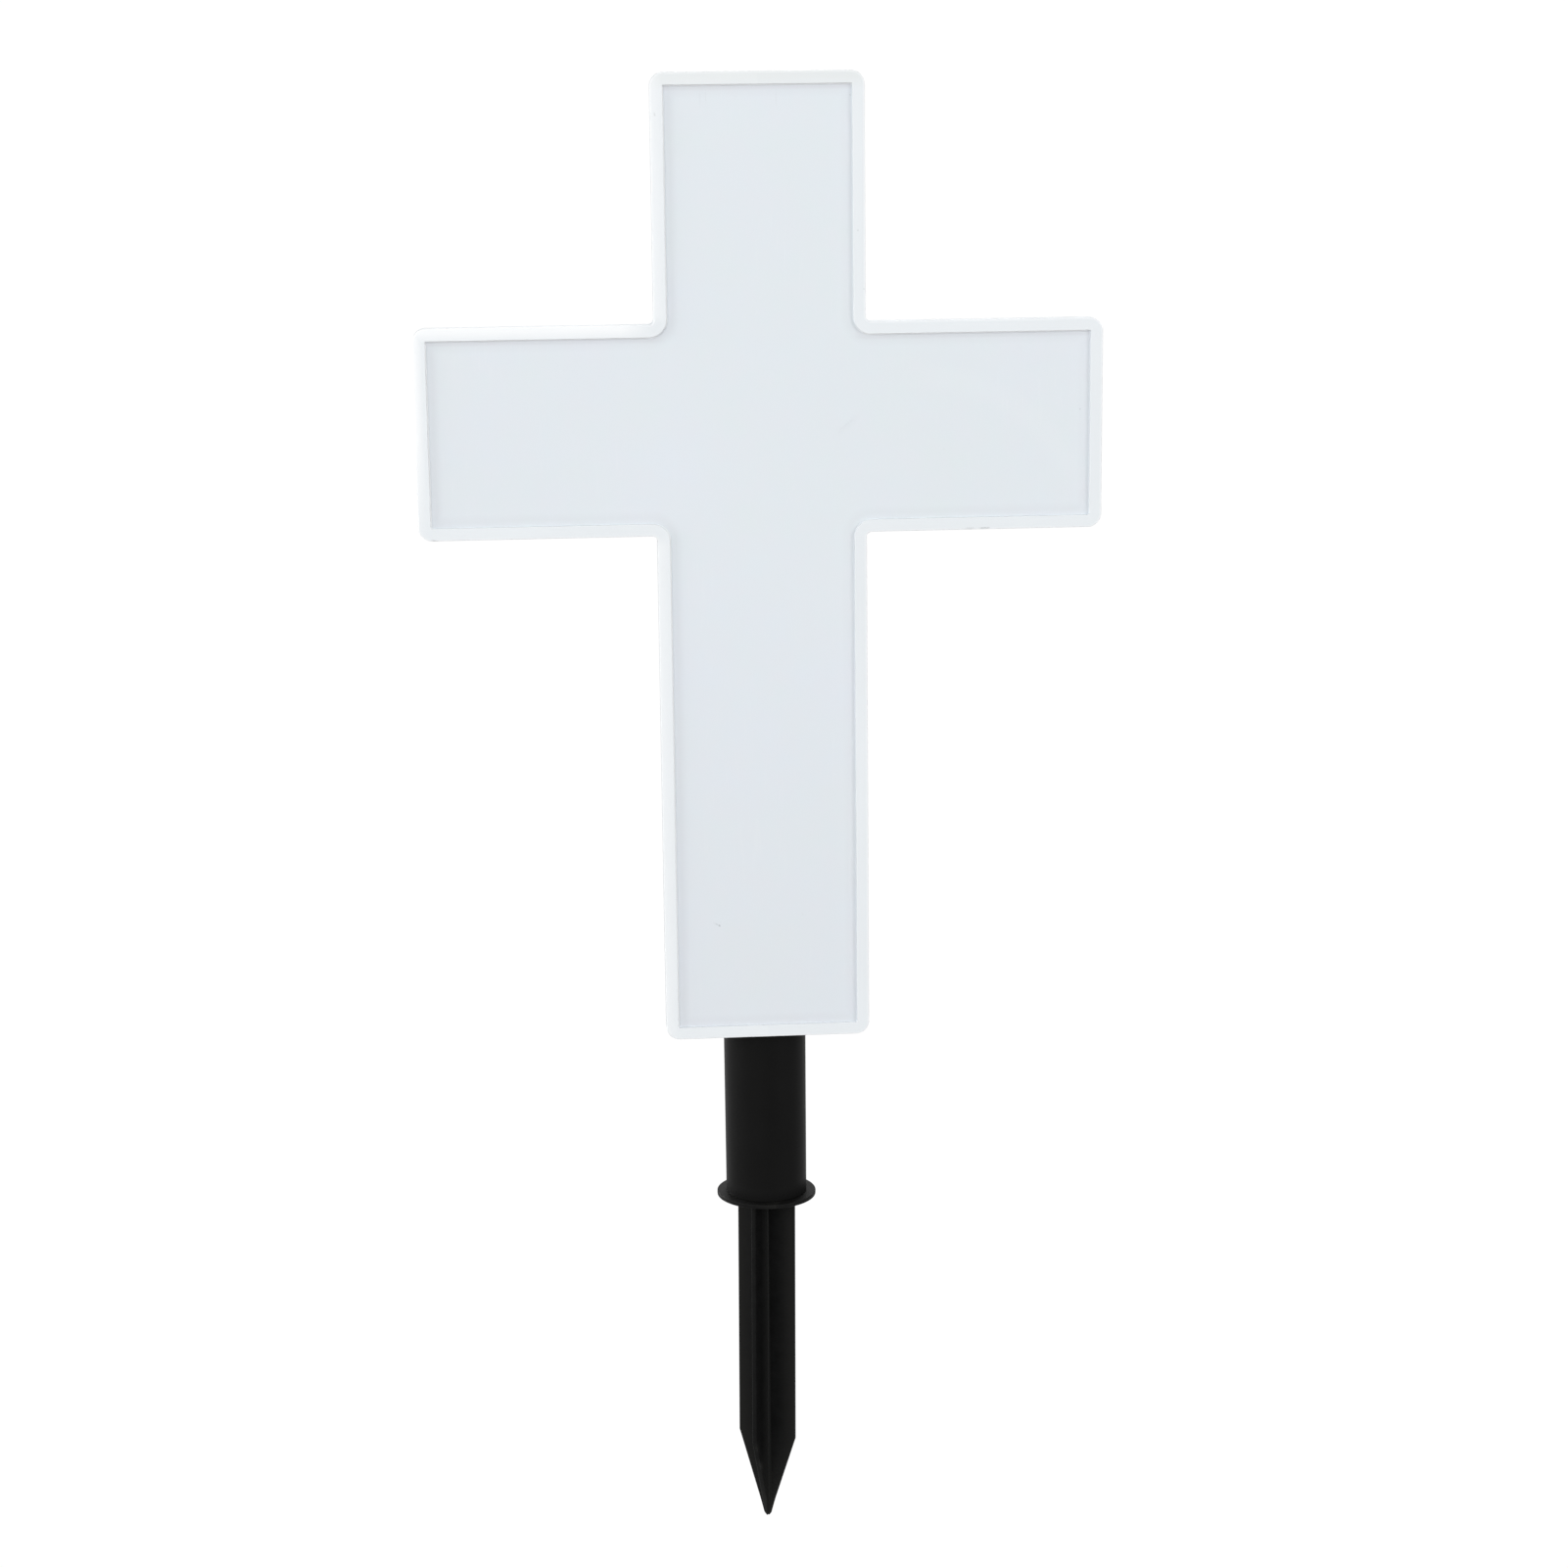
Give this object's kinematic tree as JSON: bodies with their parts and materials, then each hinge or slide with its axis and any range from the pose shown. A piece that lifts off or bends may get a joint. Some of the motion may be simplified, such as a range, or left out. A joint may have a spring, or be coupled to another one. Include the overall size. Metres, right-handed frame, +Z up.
{
  "type": "solar grave cross light",
  "caption": "White cross-shaped solar grave light with an opal face panel, on a black tube and a flanged ground stake that is pushed into the soil.",
  "frame": {"origin": "on the stake's axis at the ground, where the flange's underside lies on the soil", "axes": "+Z up along the stake and the cross's upright, -Y the way the face panel looks, +X along the crossbar to the right seen from the front"},
  "size_m": [0.21, 0.036, 0.4715],
  "materials": {
    "white_plastic": "white moulded plastic, satin",
    "opal_plastic": "pale bluish white opal plastic, smooth",
    "solar_cell": "dark blue cell strips under clear resin",
    "black_tube": "black extruded plastic tube, satin",
    "black_stake": "black moulded plastic, satin"
  },
  "bodies": {
    "root": {"housing": "white_plastic", "face_panel": "opal_plastic", "solar_panel": "solar_cell", "sleeve": "black_tube", "ground_stake": "black_stake"}
  },
  "joints": []
}
